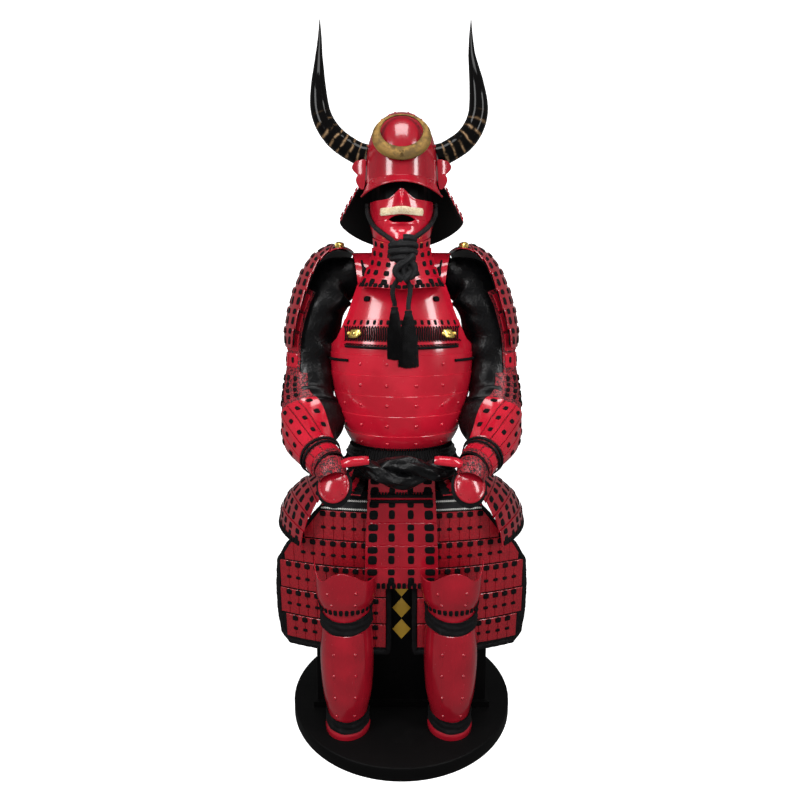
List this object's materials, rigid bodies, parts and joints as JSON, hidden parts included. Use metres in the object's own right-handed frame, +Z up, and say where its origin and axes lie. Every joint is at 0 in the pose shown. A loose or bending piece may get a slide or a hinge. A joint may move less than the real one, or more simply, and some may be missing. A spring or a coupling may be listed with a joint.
{
  "type": "samurai armour on a storage chest and a round stand with a plain head form",
  "caption": "Full suit of red laced plate armour with a horned helmet and a face mask, set up seated on its chest and a round stand",
  "frame": {"origin": "middle of the round base's underside, which is the bottom middle of the whole set", "axes": "+Z up, the armour faces -Y, +X is to the viewer's right from the front"},
  "size_m": [0.692, 0.6, 1.7821],
  "materials": {
    "apron_belt": "black woven cloth and braid",
    "apron_left": "gloss crimson lacquer",
    "apron_right": "gloss crimson lacquer",
    "arm_splints_left": "gloss crimson lacquer",
    "arm_splints_right": "gloss crimson lacquer",
    "base_disk": "black painted",
    "chest_box": "black painted",
    "chin_cord": "black woven cloth and braid",
    "cord_knot": "black woven cloth and braid",
    "crest_ring": "aged",
    "cuirass_back": "gloss crimson lacquer",
    "cuirass_front": "gloss crimson lacquer",
    "face_mask": "gloss crimson lacquer",
    "forearm_splints_left": "gloss crimson lacquer",
    "forearm_splints_right": "gloss crimson lacquer",
    "glove_left": "black woven cloth and braid",
    "glove_right": "black woven cloth and braid",
    "hand_plate_left": "gloss crimson lacquer",
    "hand_plate_right": "gloss crimson lacquer",
    "helmet_bowl": "gloss crimson lacquer",
    "helmet_brim": "gloss crimson lacquer",
    "horn_left": "polished black",
    "horn_right": "polished black",
    "knee_plate_left": "gloss crimson lacquer",
    "knee_plate_right": "gloss crimson lacquer",
    "lower_tie_left": "black woven cloth and braid",
    "lower_tie_right": "black woven cloth and braid",
    "moustache": "cream bristle",
    "neck_guard": "gloss crimson lacquer",
    "sash_band": "black woven cloth and braid",
    "sash_roll": "black woven cloth and braid",
    "shin_plate_left": "gloss crimson lacquer",
    "shin_plate_right": "gloss crimson lacquer",
    "shoulder_guard_left": "gloss crimson lacquer",
    "shoulder_guard_right": "gloss crimson lacquer",
    "shoulder_strap_left": "gloss crimson lacquer",
    "shoulder_strap_right": "gloss crimson lacquer",
    "sleeve_left": "black woven cloth and braid",
    "sleeve_right": "black woven cloth and braid",
    "stand_form": "black painted",
    "tassel_cord_left": "black woven cloth and braid",
    "tassel_cord_right": "black woven cloth and braid",
    "tassel_left": "black woven cloth and braid",
    "tassel_right": "black woven cloth and braid",
    "tasset_back_left": "gloss crimson lacquer",
    "tasset_back_right": "gloss crimson lacquer",
    "tasset_front": "gloss crimson lacquer",
    "tasset_front_left": "gloss crimson lacquer",
    "tasset_front_right": "gloss crimson lacquer",
    "tasset_side_left": "gloss crimson lacquer",
    "tasset_side_right": "gloss crimson lacquer",
    "throat_guard": "gloss crimson lacquer",
    "thumb_plate_left": "gloss crimson lacquer",
    "thumb_plate_right": "gloss crimson lacquer",
    "turnback_left": "gloss crimson lacquer",
    "turnback_right": "gloss crimson lacquer",
    "upper_tie_left": "black woven cloth and braid",
    "upper_tie_right": "black woven cloth and braid",
    "waist_lacing": "black woven cloth and braid"
  },
  "bodies": {
    "root": {"apron_belt": "apron_belt", "apron_left": "apron_left", "apron_right": "apron_right", "arm_splints_left": "arm_splints_left", "arm_splints_right": "arm_splints_right", "base_disk": "base_disk", "chest_box": "chest_box", "chin_cord": "chin_cord", "cord_knot": "cord_knot", "crest_ring": "crest_ring", "cuirass_back": "cuirass_back", "cuirass_front": "cuirass_front", "face_mask": "face_mask", "forearm_splints_left": "forearm_splints_left", "forearm_splints_right": "forearm_splints_right", "glove_left": "glove_left", "glove_right": "glove_right", "hand_plate_left": "hand_plate_left", "hand_plate_right": "hand_plate_right", "helmet_bowl": "helmet_bowl", "helmet_brim": "helmet_brim", "horn_left": "horn_left", "horn_right": "horn_right", "knee_plate_left": "knee_plate_left", "knee_plate_right": "knee_plate_right", "lower_tie_left": "lower_tie_left", "lower_tie_right": "lower_tie_right", "moustache": "moustache", "neck_guard": "neck_guard", "sash_band": "sash_band", "sash_roll": "sash_roll", "shin_plate_left": "shin_plate_left", "shin_plate_right": "shin_plate_right", "shoulder_guard_left": "shoulder_guard_left", "shoulder_guard_right": "shoulder_guard_right", "shoulder_strap_left": "shoulder_strap_left", "shoulder_strap_right": "shoulder_strap_right", "sleeve_left": "sleeve_left", "sleeve_right": "sleeve_right", "stand_form": "stand_form", "tassel_cord_left": "tassel_cord_left", "tassel_cord_right": "tassel_cord_right", "tassel_left": "tassel_left", "tassel_right": "tassel_right", "tasset_back_left": "tasset_back_left", "tasset_back_right": "tasset_back_right", "tasset_front": "tasset_front", "tasset_front_left": "tasset_front_left", "tasset_front_right": "tasset_front_right", "tasset_side_left": "tasset_side_left", "tasset_side_right": "tasset_side_right", "throat_guard": "throat_guard", "thumb_plate_left": "thumb_plate_left", "thumb_plate_right": "thumb_plate_right", "turnback_left": "turnback_left", "turnback_right": "turnback_right", "upper_tie_left": "upper_tie_left", "upper_tie_right": "upper_tie_right", "waist_lacing": "waist_lacing"}
  },
  "joints": []
}
